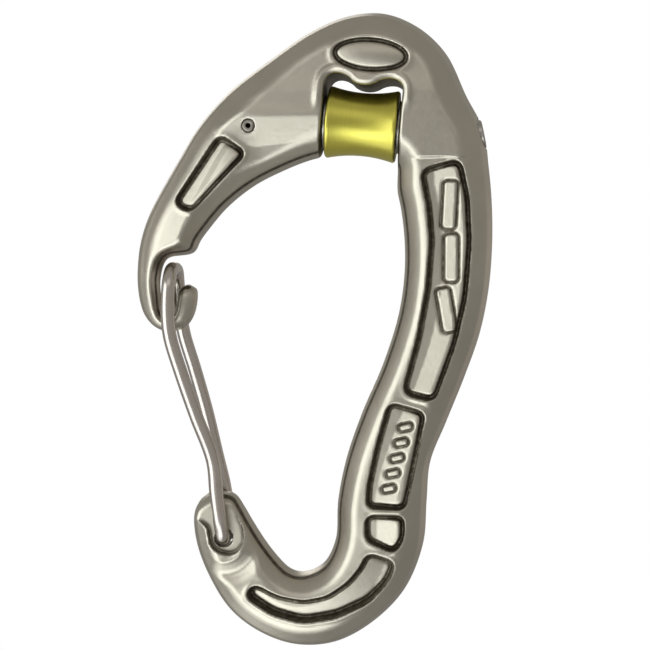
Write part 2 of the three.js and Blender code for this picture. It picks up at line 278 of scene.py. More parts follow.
def window_loop():
    """The roller's window: arches left and right of a hump that follows the roller's waist."""
    def bezier(a, b, c, d):
        t = np.linspace(0, 1, 14)[:-1, None]
        a, b, c, d = (np.array(p, float) for p in (a, b, c, d))
        return (1 - t) ** 3 * a + 3 * t * (1 - t) ** 2 * b + 3 * t * t * (1 - t) * c + t ** 3 * d

    w = WINDOW_HALF
    local = np.vstack([
        [(-w, -14), (w, -14)],
        bezier((w, 5.6), (w, 8.3), (3.6, 8.0), (2.2, 6.9)),
        bezier((2.2, 6.9), (0.9, 6.1), (-0.9, 6.1), (-2.2, 6.9)),
        bezier((-2.2, 6.9), (-3.6, 8.4), (-w, 8.7), (-w, 5.6)),
        [(-w, 5.6)],
    ])
    return np.array([
        (ROLLER_MIDDLE + u * AXLE_ALONG + v * AXLE_UP)[[0, 2]] for u, v in local
    ])


def pocket_relief(edge, depth, across, start, slope):
    """Height of a forged pocket: a wall at its outline, a floor that starts to tilt at a distance across the
    bar, and on the far side a narrow groove inside the wall and a low rolled rim outside it."""
    t = -edge
    edge_x, edge_z = np.gradient(edge, PLAN)
    across_x, across_z = np.gradient(across, PLAN)
    far = step(0.5 + 0.9 * blur(edge_x * across_x + edge_z * across_z, 0.5))
    rim = (0.05 + 0.17 * far) * np.exp(-((edge - 0.45) / 0.38) ** 2)
    wall = -depth * step((t + 0.12) / 0.5)
    groove = -0.35 * far * np.exp(-((t - 0.55) / 0.36) ** 2)
    tilt = slope * np.clip(across - start, 0, 4) * step((t - 0.2) / 0.5)
    return rim + wall + groove + tilt


def build_plan():
    """Every plan field that the frame's surface is worked out from: distances in from the bar's edges, the
    bar's half thickness, the height of its face with its relief, and where shade is painted into the grooves."""
    x, z = np.meshgrid(PLAN_X, PLAN_Z, indexing="ij")
    per_span = 8
    outer = spline([s[0:2] for s in STATIONS], per_span)
    inner = spline([s[2:4] for s in STATIONS], per_span)
    gap_out, _ = nearest_on_line(x, z, outer)
    gap_in, _ = nearest_on_line(x, z, inner)
    tip_caps = np.minimum(
        nearest_on_line(x, z, np.array([outer[0], inner[0]]))[0],
        nearest_on_line(x, z, np.array([outer[-1], inner[-1]]))[0],
    )
    body = inside(x, z, np.vstack([outer, inner[::-1]]))
    sign = np.where(body, 1, -1)
    plan = {
        "out": sign * gap_out,
        "in": sign * gap_in,
        "cap": sign * tip_caps,
        "window": signed(x, z, window_loop()),
    }

    middle = (outer + inner) / 2
    halves = np.interp(
        np.arange(len(middle)) / per_span, np.arange(len(STATIONS)), [s[4] for s in STATIONS]
    )
    _, place = nearest_on_line(x, z, middle)
    plan["half"] = blur(np.interp(place, np.arange(len(middle)), halves), 1.2)

    pads, pad_shade = raised_pads(x, z)
    oval, oval_shade = oval_relief(x, z)
    relief = pads + oval + eye_relief(x, z)
    # Where shade is painted: the grooves round the pads and the pill, and below, along each pocket's groove.
    painted_shade = np.maximum(pad_shade, oval_shade)
    for points, corner, depth, across, start, slope in POCKETS:
        edge = signed(x, z, rounded(points, corner)) - POCKET_GROWTH
        relief += pocket_relief(edge, depth, plan[across], start, slope)
        # Painted shade along this pocket's groove.
        painted_shade = np.maximum(painted_shade, np.exp(-((edge + 0.35) / 0.5) ** 4))
    relief += 0.36 * np.exp(-((plan["window"] - 1.0) / 0.6) ** 2) * step((z - 7) / 3)  # the window's lip

    # The arm's and the nose's face leans towards the outer edge.
    lean = step((-x - 17) / 8) * step((z + 36) / 6)
    plan["half"] = plan["half"] - lean * (0.17 * np.clip(7.4 - plan["out"], 0, 5.5) - 0.4)
    # Left of the roller the housing's lower facet runs on down into the arm's face.
    roof = housing_roof(x, z)
    beside = step((x + 24) / 8) * step((-5 - x) / 2) * step((8 - z) / 1.5) * step((z + 9) / 3)
    facet = np.maximum(roof, plan["half"] - 0.6)
    top = smooth_max(plan["half"] * (1 - beside) + facet * beside, roof, 0.5 + step((z - 8) / 3))
    plan["top"] = top + blur(relief, 0.12)
    plan["painted_shade"] = painted_shade
    plan["eye"] = signed(x, z, eye_recess())
    plan["nose"] = signed(x, z, nose_channel())
    slope_x, slope_z = np.gradient(plan["top"], PLAN)
    plan["tilt"] = 1 / np.sqrt(1 + slope_x ** 2 + slope_z ** 2)
    return plan


def housing_roof(x, z):
    """The swelling over the axle: a level ridge left of the roller with a facet above and a facet below it,
    and a softer shoulder with a low step right of the roller."""
    along, _ = axle_coordinates(x, z)
    above, below = np.clip(z - RIDGE_Z, 0, None), np.clip(RIDGE_Z - z, 0, None)
    upper = RIDGE_HALF - 0.115 * above - 0.012 * above ** 2
    left = smooth_min(upper, RIDGE_HALF - 0.27 * below, 0.3) - 5 * step((-along - 24) / 6)
    right = RIDGE_HALF - 0.1 - 0.022 * above ** 2 - 0.04 * below - 0.9 * step((-0.4 - z) / 0.8)
    right -= 5 * step((along - 19.5) / 5)
    side = step((x + 2) / 4)
    return left * (1 - side) + right * side


def raised_pads(x, z):
    """Plain raised pads in the long pocket and short bars in the next one, and where shade is painted in the
    grooves round them.
    """
    height, painted_shade = np.zeros_like(x), np.zeros_like(x)
    for at_x, at_z, wide, long, corner, turn in PADS:
        u, v = turned(x - at_x, z - at_z, math.radians(turn))
        edge = box_distance(u, v, wide, long, corner)
        height += 0.24 * step(0.5 - edge / 0.3) - 0.2 * np.exp(-((edge - 0.3) / 0.24) ** 2)
        # Painted shade in the groove round the pad.
        painted_shade = np.maximum(painted_shade, 0.9 * np.exp(-((edge - 0.28) / 0.24) ** 2))
    return height, painted_shade


def turned(u, v, angle):
    return u * math.cos(angle) - v * math.sin(angle), u * math.sin(angle) + v * math.cos(angle)


def box_distance(u, v, half_u, half_v, radius):
    """Distance to a box with rounded corners, negative inside."""
    du, dv = np.abs(u) - half_u + radius, np.abs(v) - half_v + radius
    return np.hypot(np.clip(du, 0, None), np.clip(dv, 0, None)) + np.minimum(np.maximum(du, dv), 0) - radius


def oval_relief(x, z):
    """A convex pill inside a narrow groove, with a soft raised rim around it, and where shade is painted in
    that groove.
    """
    u, v = turned(x - OVAL["at"][0], z - OVAL["at"][1], AXLE_TILT)
    a, b = OVAL["half"]
    r = np.sqrt((u / a) ** 2 + (v / b) ** 2)
    steepness = np.hypot(u / a ** 2, v / b ** 2) / np.maximum(r, 1e-6)
    edge = np.clip((r - 1) / np.maximum(steepness, 1e-3), -b, 6)
    dome = 0.6 * np.clip(1 - r ** 2, 0, 1) - 0.1
    rim = 0.16 * np.exp(-((edge - 0.75) / 0.5) ** 2)
    groove = -0.6 * np.exp(-((edge - 0.05) / 0.3) ** 2)
    # Painted shade in the groove round the pill.
    painted_shade = np.exp(-((edge - 0.02) / 0.4) ** 4)
    return np.where(r < 1, dome, 0) * step(-edge / 0.3) + rim + groove, painted_shade


def eye_relief(x, z):
    """Round the gate's pivot: a lip at the hole, the step's rolled rim, and a shallow valley under it."""
    dx, dz = x - PIVOT[0], z - PIVOT[1]
    r = np.hypot(dx, dz)
    from_below = np.abs(np.degrees(np.arctan2(dz, dx)) + 75)
    under = step((200 - from_below * 2.2) / 60)
    valley = -0.75 * np.exp(-((r - 6.2) / 1.5) ** 2) * under
    lip = 0.2 * np.exp(-((r - 2.1) / 0.35) ** 2)
    rim = 0.18 * np.exp(-((r - PIVOT_RING_R - 0.75) / 0.45) ** 2)
    return valley + rim + lip


def eye_recess():
    """Everything above the step in the eye, where the gate's legs swing."""
    edge = [
        (-40, -57), (-40, -63.6), (-28.5, -64.4), (-27.7, -64.8), (-26.8, -65.6), (-26.5, -66.8),
        (-26.4, -68.0), (-25.8, -69.2), (-24.4, -70.1), (-22.7, -70.4), (-21.2, -69.7), (-20.4, -68.4),
        (-20.3, -66.9), (-20.7, -65.2), (-21.6, -63.4), (-19.0, -60.0), (-12, -57),
    ]
    return rounded(edge, 0.5)


def nose_channel():
    """The channel beside the nose hook that the gate's legs lie in."""
    wall = [(-35.9, -19.6), (-35.95, -24.0), (-35.7, -28.0), (-34.9, -31.5), (-34.0, -36.0)]
    shelf = [(-24, -36), (-24, -18.6), (-31.5, -18.2), (-34.2, -18.2), (-35.5, -18.7)]
    return np.vstack([spline(wall, 6), shelf])


PLAN_FIELDS = build_plan()


def sample(name, x, z):
    """A plan field between its grid points, by cubic interpolation."""
    field = PLAN_FIELDS[name]
    u = np.clip((x - PLAN_X[0]) / PLAN, 1, len(PLAN_X) - 3.001)
    v = np.clip((z - PLAN_Z[0]) / PLAN, 1, len(PLAN_Z) - 3.001)
    iu, iv = u.astype(int), v.astype(int)
    fu, fv = u - iu, v - iv

    def weights(f):
        return (
            -0.5 * f + f ** 2 - 0.5 * f ** 3,
            1 - 2.5 * f ** 2 + 1.5 * f ** 3,
            0.5 * f + 2 * f ** 2 - 1.5 * f ** 3,
            -0.5 * f ** 2 + 0.5 * f ** 3,
        )

    total = 0
    for a, wa in enumerate(weights(fu)):
        row = sum(wb * field[iu + a - 1, iv + b - 1] for b, wb in enumerate(weights(fv)))
        total = total + wa * row
    return total


def body_field(x, y, z, get):
    """Negative inside the forging. get(name) gives a plan field at x, z. Each edge has a drafted side up to
    a crease and a bevel from there to the face. The inner one also has a groove under the crease and a
    shoulder."""
    y = np.sqrt(y * y + PARTING_ROUND)
    half = get("half")
    noseness = step((-x - 27) / 8) * step((z + 40) / 10)
    drafted = None
    # Edge, draft in degrees, the bevel's and the crease's share of the half thickness, how far the crease is
    # rounded over, and how far the edge is where it meets the ones before it.
    for name, draft, bevel_share, crease_share, round_off, corner in (
        ("in", 14, 0.40 - 0.26 * noseness, 0.5, 0.5, 0.5),
        ("out", 18, 0.52, 0.62, 0.35, 0.5),
        ("cap", 12, 0.5, 0.5, 0.4, 1.6),
    ):
        d = get(name)
        draft = math.radians(draft)
        crease_y = crease_share * half
        crease_d = crease_y * math.tan(draft)
        side = y * math.sin(draft) - d * math.cos(draft)
        rise = half * (1 - crease_share)
        run = bevel_share * half
        bevel = ((y - crease_y) * run - (d - crease_d) * rise) / np.hypot(rise, run)
        if name == "in":
            side = side + 0.14 * np.exp(-((y - crease_y + 0.25) / 0.22) ** 2)
            shoulder = (y - half - 0.6 * (d - (0.64 - 0.4 * noseness) * half)) / math.hypot(1, 0.6)
            bevel = smooth_max(bevel, shoulder, 0.9)
        flank = smooth_max(side, bevel, round_off)
        drafted = flank if drafted is None else smooth_max(drafted, flank, corner)
    face = (y - get("top")) * get("tilt")
    solid = smooth_max(drafted, face, 0.55)
    solid = smooth_max(solid, -get("window"), 0.6)
    for name, k in (("eye", 0.35), ("nose", 0.4)):
        cut = smooth_max(get(name), EYE_HALF - y, k)
        solid = smooth_max(solid, -cut, k)
    return solid


def holes_field(x, y, z):
    """Negative inside the drilled holes."""
    along, across = axle_coordinates(x, z)
    bore = np.maximum(np.hypot(across, y) - AXLE_R - FIT, -along + AXLE_SPAN[0] - 0.1)
    pin = np.hypot(x - PIN_AT[0], z - PIN_AT[1]) - PIN_R - FIT
    pivot = np.hypot(x - PIVOT[0], z - PIVOT[1]) - PIVOT_HOLE_R
    return np.minimum(np.minimum(bore, pin), pivot)


def frame_field(points):
    """Negative inside the frame, and about a distance in mm near its surface."""
    x, y, z = points.T
    cache = {}

    def get(name):
        if name not in cache:
            cache[name] = sample(name, x, z)
        return cache[name]

    return smooth_max(body_field(x, y, z, get), -holes_field(x, y, z), 0.22)


def gradient(field, points, h=0.02):
    """A field's value and slope at each point."""
    value = field(points)
    slopes = []
    for axis in range(3):
        moved = points.copy()
        moved[:, axis] += h
        slopes.append((field(moved) - value) / h)
    return value, np.stack(slopes, axis=1)


# ---------------------------------------------------------------- surface nets

def surface_net(field, axes):
    """Quads over the zero surface of a field, one vertex for each grid cell that the surface crosses."""
    shape = [len(a) for a in axes]
    values = np.empty(shape, np.float32)
    plane_x, plane_z = np.meshgrid(axes[0], axes[2], indexing="ij")
    flat_x, flat_z = plane_x.ravel(), plane_z.ravel()
    for j, y in enumerate(axes[1]):
        points = np.stack([flat_x, np.full_like(flat_x, y), flat_z], axis=1)
        values[:, j, :] = field(points).reshape(plane_x.shape)

    solid = values < 0
    corners = [(i, j, k) for i in (0, 1) for j in (0, 1) for k in (0, 1)]

    def corner(array, c):
        return array[tuple(slice(o, n - 1 + o) for o, n in zip(c, shape))]

    count = sum(corner(solid, c).astype(np.int8) for c in corners)
    cells = np.argwhere((count > 0) & (count < 8))
    number = -np.ones([n - 1 for n in shape], np.int64)
    number[tuple(cells.T)] = np.arange(len(cells))

    total = np.zeros((len(cells), 3))
    hits = np.zeros(len(cells))
    for c in corners:
        for axis in range(3):
            if c[axis]:
                continue
            d = tuple(o + (1 if a == axis else 0) for a, o in enumerate(c))
            va = values[tuple((cells + c).T)]
            vb = values[tuple((cells + d).T)]
            cross = (va < 0) != (vb < 0)
            t = np.where(cross, va / np.where(cross, va - vb, 1), 0)
            place = np.array(c, float) + np.zeros((len(cells), 1))
            place[:, axis] += t
            total += np.where(cross[:, None], place, 0)
            hits += cross
    place = cells + total / hits[:, None]
    verts = np.stack([np.interp(place[:, i], np.arange(shape[i]), axes[i]) for i in range(3)], axis=1)

    faces = []
    for axis in range(3):
        b, c = [a for a in range(3) if a != axis]
        low_part, high_part = (
            tuple(slice(o, n - 1 + o) if a == axis else slice(1, n - 1) for a, n in enumerate(shape))
            for o in (0, 1)
        )
        low_side, high_side = solid[low_part], solid[high_part]
        for outward in (True, False):
            found = np.argwhere((low_side & ~high_side) if outward else (~low_side & high_side))
            at = found.copy()
            for other in (b, c):
                at[:, other] += 1
            ring = []
            for ob, oc in ((-1, -1), (0, -1), (0, 0), (-1, 0)):
                q = at.copy()
                q[:, b] += ob
                q[:, c] += oc
                ring.append(number[tuple(q.T)])
            ring = np.stack(ring, axis=1)
            flip = (axis == 1) == outward
            faces.append(ring[:, ::-1] if flip else ring)
    return verts, np.vstack(faces)


def project(field, verts, limit):
    """Moves vertices onto the zero surface, no further than limit each time."""
    for _ in range(3):
        value, slope = gradient(field, verts)
        size = np.maximum((slope ** 2).sum(axis=1), 0.05)
        move = -value[:, None] * slope / size[:, None]
        length = np.maximum(np.linalg.norm(move, axis=1), 1e-9)
        verts = verts + move * np.minimum(1, limit / length)[:, None]
    return verts


# ---------------------------------------------------------------- meshes

def make_mesh(name, verts, faces):
    """A smooth-shaded object from vertices in mm and faces, which an array gives when all are alike."""
    mesh = bpy.data.meshes.new(name)
    verts = np.ascontiguousarray(np.array(verts) * MM, np.float32)
    if isinstance(faces, np.ndarray):
        mesh.vertices.add(len(verts))
        mesh.vertices.foreach_set("co", verts.ravel())
        mesh.loops.add(faces.size)
        mesh.loops.foreach_set("vertex_index", faces.astype(np.int32).ravel())
        mesh.polygons.add(len(faces))
        width = faces.shape[1]
        mesh.polygons.foreach_set("loop_start", np.arange(len(faces), dtype=np.int32) * width)
        mesh.polygons.foreach_set("loop_total", np.full(len(faces), width, np.int32))
        mesh.update(calc_edges=True)
        mesh.validate()
    else:
        mesh.from_pydata(verts.tolist(), [], faces)
    mesh.polygons.foreach_set("use_smooth", [True] * len(mesh.polygons))
    obj = bpy.data.objects.new(name, mesh)
    bpy.context.scene.collection.objects.link(obj)
    return obj


def lathe(name, profile, origin, axis, up, sides=96):
    """A closed profile of (radius, place along the axis) turned round the axis."""
    side = np.cross(axis, up)
    rings = []
    for i in range(sides):
        a = 2 * math.pi * i / sides
        out = math.cos(a) * up + math.sin(a) * side
        rings.append([origin + axis * h + out * r for r, h in profile])
    n = len(profile)
    faces = []
    for i in range(sides):
        j = (i + 1) % sides
        for k in range(n):
            m = (k + 1) % n
            faces.append((i * n + k, i * n + m, j * n + m, j * n + k))
    return make_mesh(name, np.array(rings).reshape(-1, 3), np.array(faces))


def sleeve_profile(inner, outer, low, high, chamfer):
    """A ring's section with its four corners rounded."""
    points = []
    for r, h, start in (
        (outer - chamfer, low + chamfer, -90), (outer - chamfer, high - chamfer, 0),
        (inner + chamfer, high - chamfer, 90), (inner + chamfer, low + chamfer, 180),
    ):
        for a in np.radians(np.linspace(start, start + 90, 5)):
            points.append((r + chamfer * math.cos(a), h + chamfer * math.sin(a)))
    return points


def build_frame():
    """The forging, on a grid that is coarser across its plain sides than near its faces."""
    fine = np.arange(2.1, 7.3, GRID)
    across = np.concatenate([-fine[::-1], np.linspace(-1.5, 1.5, 6), fine])
    axes = [np.arange(-41.2, 24.6, GRID), across, np.arange(-88.4, 26.2, GRID)]
    verts, faces = surface_net(frame_field, axes)
    verts = project(frame_field, verts, GRID)
    _, normals = gradient(frame_field, verts)
    normals /= np.maximum(np.linalg.norm(normals, axis=1), 1e-6)[:, None]
    piece = make_mesh("forged_frame", verts, faces)
    piece.data.normals_split_custom_set_from_vertices(normals.tolist())
    # Where shade is painted on the frame: hollows, the roller's window and the crease.
    add_attribute(piece, "hollow_shade", painted_shade_amount(verts, normals))
    # Where a highlight is painted on the frame's edges.
    add_attribute(piece, "edge_highlight", edge_highlight_amount(verts, normals))
    return piece


def painted_shade_amount(verts, normals):
    """How shut in each place on the frame is, from 0 in the open to 1 in a narrow groove, in the window or
    along the forging's crease: the amount of painted shade put there."""
    shut = 0
    for reach, share in ((0.3, 0.35), (0.7, 0.35), (1.5, 0.3)):
        room = frame_field(verts + normals * reach) / reach
        shut = shut + share * np.clip(1 - room, 0, 1)
    x, y, z = verts.T
    depth = sample("half", x, z) - np.abs(y)
    # Painted shade on the window's walls, where the roller shuts the light out.
    window_shade = step((0.5 - sample("window", x, z)) / 0.5) * step((depth - 0.1) / 0.8)
    # Painted shade along the inner edge's crease.
    crease = np.abs(y) - 0.5 * sample("half", x, z) + 0.1
    crease_shade = np.exp(-(crease / 0.4) ** 2) * step((1.9 - sample("in", x, z)) / 0.3)
    # Painted shade in the pockets' and pads' grooves, on the face only.
    groove_shade = sample("painted_shade", x, z) * step((np.abs(y) - sample("top", x, z) + 2.2) / 0.5)
    return np.clip(np.maximum.reduce([shut, 0.9 * window_shade, 0.9 * crease_shade, groove_shade]), 0, 1)


def edge_highlight_amount(verts, normals):
    """How far each place on the frame stands out, from 0 on a flat to 1 on a sharp edge: the amount of
    painted highlight put there.
    """
    thin = 0
    for reach in (0.3, 0.7):
        thin = thin + 0.5 * np.clip(1 + frame_field(verts - normals * reach) / reach, 0, 1)
    return np.clip(thin * 2.5, 0, 1)


def add_attribute(piece, name, values):
    attribute = piece.data.attributes.new(name, "FLOAT", "POINT")
    attribute.data.foreach_set("value", np.ascontiguousarray(values, np.float32))


def build_gate():
    """The gate: one wire from its end in the eye, up the front leg, across at the nose and down the back leg,
    which is skewed against the front one."""
    x, z = PIVOT
    y = WIRE_LEG_Y
    foot = [(x, 0.7, z), (x, 2.6, z), (x, 4.0, z + 0.5), (x - 0.2, y, z + 2.2)]
    front_leg = [
        (-25.0, -59.5), (-25.6, -53.6), (-28.6, -45.6), (-31.2, -38.2), (-33.2, -31.6), (-33.6, -27.0),
    ]
    back_leg = [
        (-25.0, -59.5), (-26.4, -53.6), (-28.3, -45.6), (-30.4, -38.2), (-32.4, -31.6), (-33.1, -27.0),
    ]
    bend = [(-33.4, 4.2, -22.4), (-33.3, 2.6, -20.3)]
    front = foot + [(px, y, pz) for px, pz in front_leg] + bend
    back = foot + [(px, y, pz) for px, pz in back_leg] + bend
    route = [(px, -py, pz) for px, py, pz in front] + [(-33.3, 0, -19.8)] + back[::-1]
    return tube("gate_loop", spline(route, 16), WIRE_R, 28, 0.3)


def tube(name, line, radius, sides, chamfer):
    """A round bar along a line, with rounded ends."""
    line = np.array(line)
    tangents = np.gradient(line, axis=0)
    tangents /= np.linalg.norm(tangents, axis=1)[:, None]
    normal = np.cross(tangents[0], (0, 0, 1.0))
    normal /= np.linalg.norm(normal)
    rings = []
    steps = [(0, radius - chamfer), (chamfer, radius)]
    frames = []
    for p, t in zip(line, tangents):
        normal = normal - t * (normal @ t)
        normal /= np.linalg.norm(normal)
        frames.append((p, t, normal, np.cross(t, normal)))

    angles = np.linspace(0, 2 * math.pi, sides + 1)[:-1]

    def ring(p, n, b, r):
        return [p + r * (math.cos(a) * n + math.sin(a) * b) for a in angles]

    first, last = frames[0], frames[-1]
    for out, r in steps:
        rings.append(ring(first[0] + first[1] * (out - chamfer), first[2], first[3], r))
    for p, _, n, b in frames[1:-1]:
        rings.append(ring(p, n, b, radius))
    for out, r in reversed(steps):
        rings.append(ring(last[0] - last[1] * (out - chamfer), last[2], last[3], r))
    verts = np.array(rings).reshape(-1, 3)
    faces = []
    for i in range(len(rings) - 1):
        for k in range(sides):
            m = (k + 1) % sides
            faces.append((i * sides + k, i * sides + m, (i + 1) * sides + m, (i + 1) * sides + k))
    faces.append(tuple(reversed(range(sides))))
    faces.append(tuple(range((len(rings) - 1) * sides, len(rings) * sides)))
    piece = make_mesh(name, verts, faces)
    middles = verts.reshape(len(rings), sides, 3).mean(axis=1)
    lengths = np.concatenate([[0], np.cumsum(np.linalg.norm(np.diff(middles, axis=0), axis=1))])
    turn = np.abs(np.linspace(-1, 1, sides, endpoint=False))
    add_attribute(piece, "along", np.repeat(lengths, sides))
    add_attribute(piece, "around", np.tile(turn, len(rings)))
    return piece


def build_roller():
    """The waisted roller: rounded rims, shallow recess in each end face."""
    waist = [
        (ROLLER_GROOVE_R + (ROLLER_RIM_R - ROLLER_GROOVE_R) * t * t, t * (ROLLER_HALF - 0.5))
        for t in np.linspace(-1, 1, 41)
    ]
    rim = ROLLER_RIM_R
    corner = [
        (rim - 0.45 + 0.45 * math.cos(a), ROLLER_HALF - 0.45 + 0.45 * math.sin(a))
        for a in np.radians(np.linspace(15, 90, 6))
    ]
    recess = ROLLER_HALF - 0.15
    end = [(5.2, ROLLER_HALF), (5.0, recess), (4.9, recess), (BUSH_R + 0.02, recess)]
    upper = corner + end
    lower = [(r, -h) for r, h in reversed(upper)]
    return lathe("roller_shell", lower + waist + upper, ROLLER_MIDDLE, AXLE_ALONG, AXLE_UP, 128)


def solid_profile(radius, low, high, chamfer):
    """A rod's section with rounded ends, from its middle line out and back."""
    arc = np.radians(np.linspace(0, 90, 5))
    lower = [(radius - chamfer + chamfer * math.sin(a), low + chamfer - chamfer * math.cos(a)) for a in arc]
    upper = [(radius - chamfer + chamfer * math.cos(a), high - chamfer + chamfer * math.sin(a)) for a in arc]
    return [(0.02, low)] + lower + upper + [(0.02, high)]


def build_axle():
    """The axle, with its right end finished flush with the slope of the frame's edge."""
    axle = lathe("axle_rod", solid_profile(AXLE_R, *AXLE_SPAN, 0.3), ROLLER_MIDDLE, AXLE_ALONG, AXLE_UP, 64)
    for vertex in axle.data.vertices:
        x, _, z = np.array(vertex.co) / MM
        along, across = axle_coordinates(x, z)
        if along > 0:
            vertex.co += Vector(AXLE_ALONG * (0.5 - 0.3 * across) * MM)
    return axle


def on_axle(name, profile):
    return lathe(name, profile, ROLLER_MIDDLE, AXLE_ALONG, AXLE_UP)


def build_roll_pin():
    profile = sleeve_profile(PIN_BORE_R, PIN_R, -PIN_HALF, PIN_HALF, 0.18)
    origin = np.array([PIN_AT[0], 0.0, PIN_AT[1]])
    across, up = np.array([0.0, 1.0, 0.0]), np.array([0.0, 0.0, 1.0])
    return lathe("roll_pin_sleeve", profile, origin, across, up, 48)


def build_pieces():
    """Every piece with its body, slot and the CAD node it stands for."""
    washer = sleeve_profile(AXLE_R + FIT, WASHER_R, *WASHER_FACES, 0.1)
    other_washer = [(r, -h) for r, h in reversed(washer)]
    bush = sleeve_profile(AXLE_R + 0.03, BUSH_R - 0.01, -BUSH_HALF, BUSH_HALF, 0.15)
    return [
        (build_frame(), "frame_body", "frame_alloy", "frame"),
        (build_gate(), "gate_body", "gate_steel", "gate_wire"),
        (build_roller(), "roller_body", "roller_anodised", "roller"),
        (on_axle("roller_bush_sleeve", bush), "roller_body", "bush_metal", "roller_bush"),
        (build_axle(), "frame_body", "axle_steel", "axle"),
        (on_axle("washer_ring_left", other_washer), "frame_body", "washer_steel", "thrust_washer_left"),
        (on_axle("washer_ring_right", washer), "frame_body", "washer_steel", "thrust_washer_right"),
        (build_roll_pin(), "frame_body", "pin_steel", "axle_roll_pin"),
    ]


# ---------------------------------------------------------------- materials

class Finish:
    """A metal's node tree, with short helpers for the nodes that several metals share."""

    def __init__(self, name, roughness):
        self.material = bpy.data.materials.new(name)
        self.material.use_nodes = True
        self.tree = self.material.node_tree
        self.shader = self.tree.nodes["Principled BSDF"]
        self.shader.inputs["Metallic"].default_value = 1
        self.roughness = roughness
        place = self.node("ShaderNodeTexCoord").outputs["Object"]
        self.place = self.vector("MULTIPLY", place, (1000, 1000, 1000))

    def node(self, kind, **settings):
        node = self.tree.nodes.new(kind)
        for key, value in settings.items():
            setattr(node, key, value)
        return node

    def feed(self, socket, value):
        if isinstance(value, bpy.types.NodeSocket):
            self.tree.links.new(value, socket)
        else:
            socket.default_value = value

    def math(self, operation, a, b, clamp=False):
        node = self.node("ShaderNodeMath", operation=operation, use_clamp=clamp)
        self.feed(node.inputs[0], a)
        self.feed(node.inputs[1], b)
        return node.outputs[0]

    def vector(self, operation, a, b):
        node = self.node("ShaderNodeVectorMath", operation=operation)
        self.feed(node.inputs[0], a)
        self.feed(node.inputs[1], b)
        return node.outputs["Value" if operation == "DOT_PRODUCT" else "Vector"]

    def noise(self, place, scale, detail):
        node = self.node("ShaderNodeTexNoise")
        self.feed(node.inputs["Vector"], place)
        node.inputs["Scale"].default_value = scale
        node.inputs["Detail"].default_value = detail
        return node.outputs["Fac"]

    def attribute(self, name):
        return self.node("ShaderNodeAttribute", attribute_name=name).outputs["Fac"]

    def between(self, value, low, high, out_low=0.0, out_high=1.0):
        node = self.node("ShaderNodeMapRange", interpolation_type="SMOOTHSTEP")
        for key, number in (("From Min", low), ("From Max", high), ("To Min", out_low), ("To Max", out_high)):
            node.inputs[key].default_value = number
        self.feed(node.inputs["Value"], value)
        return node.outputs["Result"]

    def mix(self, share, a, b):
        node = self.node("ShaderNodeMix", data_type="RGBA")
        for key, value in ((0, share), (6, a), (7, b)):
            self.feed(node.inputs[key], value)
        return node.outputs[2]

    def add_roughness(self, *parts):
        total = self.roughness
        for part in parts:
            total = self.math("ADD", part, total)
        self.feed(self.shader.inputs["Roughness"], self.math("MAXIMUM", total, 0.08, clamp=True))

    def bumps(self, *heights):
        """Each height is a value and how many mm it stands for."""
        normal = None
        for value, size in heights:
            node = self.node("ShaderNodeBump")
            node.inputs["Distance"].default_value = size * MM
            self.feed(node.inputs["Height"], value)
            if normal is not None:
                self.feed(node.inputs["Normal"], normal)
            normal = node.outputs["Normal"]
        self.feed(self.shader.inputs["Normal"], normal)


def rgb(red, green, blue):
    return (red, green, blue, 1.0)


def forged_alloy():
    """Tumbled forging: satin grain, painted shade darkening the hollows, the window's walls and the crease,
    and a painted highlight lightening the sharp edges, which are also a little smoother.
    """
    f = Finish("forged_alloy", 0.27)
    hollow_shade = f.attribute("hollow_shade")
    edge_highlight = f.attribute("edge_highlight")
    cloud = f.noise(f.place, 0.16, 4)
    mottle = f.noise(f.place, 1.1, 3)
    grain = f.noise(f.place, 9.0, 2)
    stroke_a = f.noise(f.vector("MULTIPLY", f.place, (0.5, 3.0, 9.0)), 1.0, 3)
    stroke_b = f.noise(f.vector("MULTIPLY", f.place, (8.0, 3.0, 0.6)), 1.0, 3)
    strokes = f.math("MAXIMUM", f.between(stroke_a, 0.64, 0.72), f.between(stroke_b, 0.64, 0.72))
    # Painted shade: where the frame is shut in it goes near-black, a little patchy, and rougher.
    painted_shade = f.math("MULTIPLY", f.between(hollow_shade, 0.10, 0.55), f.between(mottle, 0.15, 0.75, 0.75, 1.0))
    tone = f.mix(f.between(cloud, 0.3, 0.7), rgb(0.56, 0.53, 0.455), rgb(0.60, 0.565, 0.49))
    # Painted highlight: sharp edges are lighter.
    tone = f.mix(f.math("MULTIPLY", edge_highlight, 0.35), tone, rgb(0.74, 0.715, 0.65))
    tone = f.mix(f.math("MULTIPLY", strokes, 0.12), tone, rgb(0.72, 0.70, 0.64))
    # The painted shade's near-black colour.
    tone = f.mix(painted_shade, tone, rgb(0.085, 0.070, 0.048))
    f.feed(f.shader.inputs["Base Color"], tone)
    f.add_roughness(
        f.math("MULTIPLY", mottle, 0.10),
        f.math("MULTIPLY", grain, 0.06),
        f.math("MULTIPLY", painted_shade, 0.18),
        f.math("MULTIPLY", edge_highlight, -0.05),
    )
    f.bumps((grain, 0.012), (mottle, 0.02), (strokes, -0.003))
    return f.material


